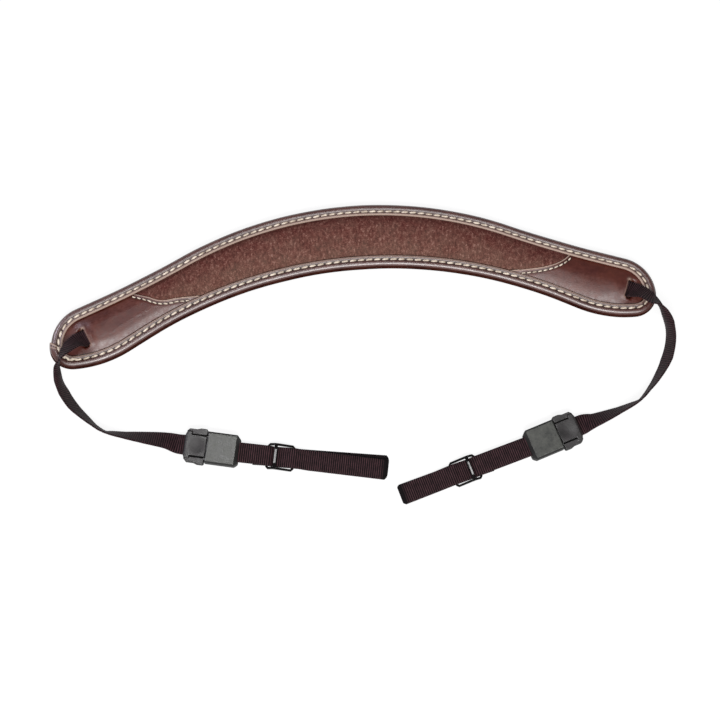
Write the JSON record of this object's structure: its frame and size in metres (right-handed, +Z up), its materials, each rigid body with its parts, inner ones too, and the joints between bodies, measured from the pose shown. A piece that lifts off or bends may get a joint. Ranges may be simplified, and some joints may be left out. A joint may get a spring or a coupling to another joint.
{
  "type": "binocular strap",
  "caption": "Curved neck strap with a padded felt and leather body, webbing tails, squeeze clips, sliders and folded end loops, for carrying binoculars.",
  "frame": {"origin": "middle of the pad, on the surface that the strap lies on", "axes": "+X along the pad from its left tip to its right tip, +Y towards the pad's outer (convex) edge, +Z up out of the surface, on the felt side"},
  "size_m": [0.3108, 0.1544, 0.0175],
  "materials": {
    "back_leather": "plain smooth leather, satin",
    "felt": "heathered wool felt, matt",
    "binding_leather": "smooth folded leather strip, satin",
    "end_leather": "smooth pull-up leather, semi-gloss",
    "webbing": "ribbed nylon webbing",
    "clip_plastic": "moulded plastic, satin",
    "slider_plastic": "moulded plastic, glossy"
  },
  "bodies": {
    "root": {"back_panel": "back_leather", "felt_panel": "felt", "edge_binding": "binding_leather", "end_panel_left": "end_leather", "webbing_upper_left": "webbing", "buckle_tongue_left": "clip_plastic", "buckle_housing_left": "clip_plastic", "webbing_loop_left": "webbing", "slider_left": "slider_plastic", "end_panel_right": "end_leather", "webbing_upper_right": "webbing", "buckle_tongue_right": "clip_plastic", "buckle_housing_right": "clip_plastic", "webbing_loop_right": "webbing", "slider_right": "slider_plastic"}
  },
  "joints": []
}
